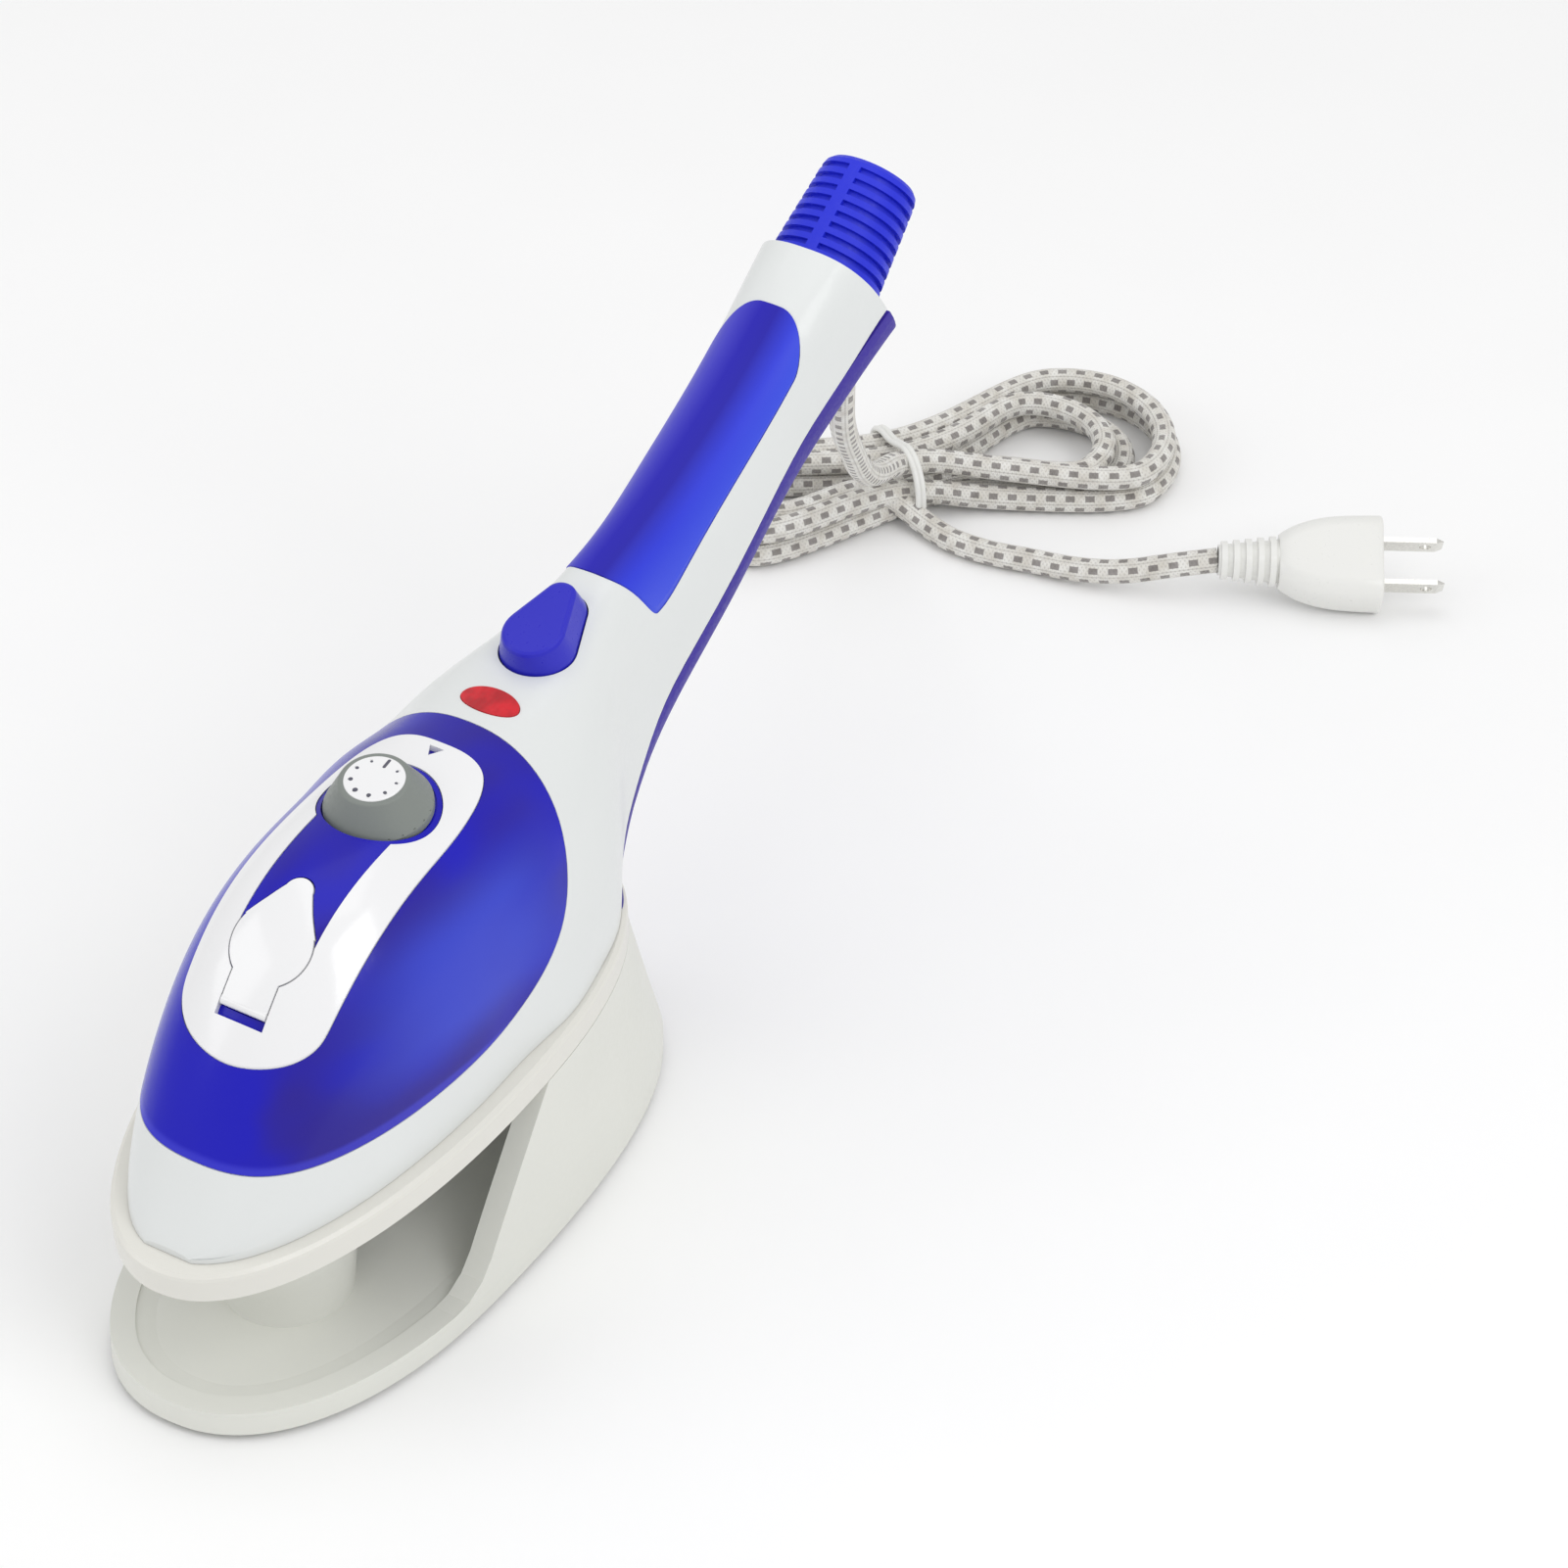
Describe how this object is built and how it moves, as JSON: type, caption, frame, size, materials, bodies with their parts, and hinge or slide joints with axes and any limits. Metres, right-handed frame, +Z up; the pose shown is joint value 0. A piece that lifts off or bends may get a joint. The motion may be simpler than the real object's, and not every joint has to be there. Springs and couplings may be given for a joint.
{
  "type": "handheld garment steamer",
  "caption": "Handheld garment steamer in its heat-proof rest: water tank, filler flap, temperature dial, steam button, ribbed guard and a tied textile mains lead.",
  "frame": {"origin": "centre of the footprint of the steamer and its rest, on the surface the rest stands on; the loose lead is left out of the measurement", "axes": "+X from the nose to the cord end, +Y to the steamer's left, +Z up"},
  "size_m": [0.5009, 0.2101, 0.1874],
  "materials": {
    "shell_silver": "pearl silver-white moulding",
    "skirt_cream": "cream-white moulding",
    "stand_white": "warm white moulding",
    "tank_blue": "tinted clear moulding",
    "shell_blue": "deep blue moulding",
    "grip_blue": "satin blue soft-touch",
    "button_blue": "blue moulding",
    "guard_blue": "ribbed blue rubber",
    "panel_white": "gloss white",
    "dial_grey": "warm grey",
    "lamp_red": "tinted clear lens",
    "sole_alloy": "polished",
    "cast_alloy": "as cast",
    "sheet_steel": "brushed",
    "spring_steel": "drawn wire",
    "screw_steel": "zinc plated",
    "seal_rubber": "silicone",
    "foot_rubber": "matt",
    "inner_black": "heat-proof moulding",
    "inner_white": "plain moulding",
    "cord_textile": "braided with grey flecks",
    "plug_white": "white moulding",
    "blade_brass": "nickel plated"
  },
  "bodies": {
    "rest": {"stand": "stand_white", "stand_feet": "foot_rubber", "cord_hank": "cord_textile", "cord_tie": "plug_white", "cord_tail": "cord_textile", "plug_relief": "plug_white", "plug_body": "plug_white", "plug_blades": "blade_brass"},
    "steamer": {"upper_housing": "shell_silver", "lower_housing": "shell_blue", "housing_screws": "screw_steel", "grip_pad": "grip_blue", "soleplate_skirt": "skirt_cream", "soleplate": "sole_alloy", "steam_chamber": "cast_alloy", "chamber_gasket": "seal_rubber", "chamber_cover": "sheet_steel", "heating_element": "sheet_steel", "heat_shield": "sheet_steel", "thermostat_body": "inner_black", "thermal_fuse": "screw_steel", "water_tank": "tank_blue", "tank_seal": "seal_rubber", "inlay_panel": "panel_white", "filler_gasket": "seal_rubber", "flap_hinge_pin": "screw_steel", "pilot_lamp": "lamp_red", "lamp_holder": "inner_white", "button_spring": "spring_steel", "valve_body": "inner_white", "steam_tube": "seal_rubber", "cord_guard": "guard_blue", "cord_boot": "guard_blue", "cord_clamp": "inner_white", "terminal_block": "inner_white", "cord_drop": "cord_textile"},
    "dial": {"temperature_dial": "dial_grey", "dial_cap": "panel_white", "dial_spindle": "sheet_steel"},
    "flap": {"filler_flap": "panel_white"},
    "button": {"steam_button": "button_blue", "valve_pin": "sheet_steel"}
  },
  "joints": [
    {"name": "lift_off", "type": "slide", "parent": "rest", "child": "steamer", "axis": [0, 0, 1], "range_m": [0, 0.1]},
    {"name": "dial_turn", "type": "hinge", "parent": "steamer", "child": "dial", "pos_m": [-0.06784, 0, 0.12211], "axis": [-0.165, 0, 0.9863], "range_deg": [0, 270]},
    {"name": "flap_hinge", "type": "hinge", "parent": "steamer", "child": "flap", "pos_m": [-0.1225, 0, 0.10061], "axis": [0, -1, 0], "range_deg": [0, 100]},
    {"name": "button_press", "type": "slide", "parent": "steamer", "child": "button", "axis": [0.309, 0, -0.9511], "range_m": [0, 0.003], "stiffness_N_per_m": 600, "springref_m": -0.002, "deforming": ["button_spring"]}
  ]
}
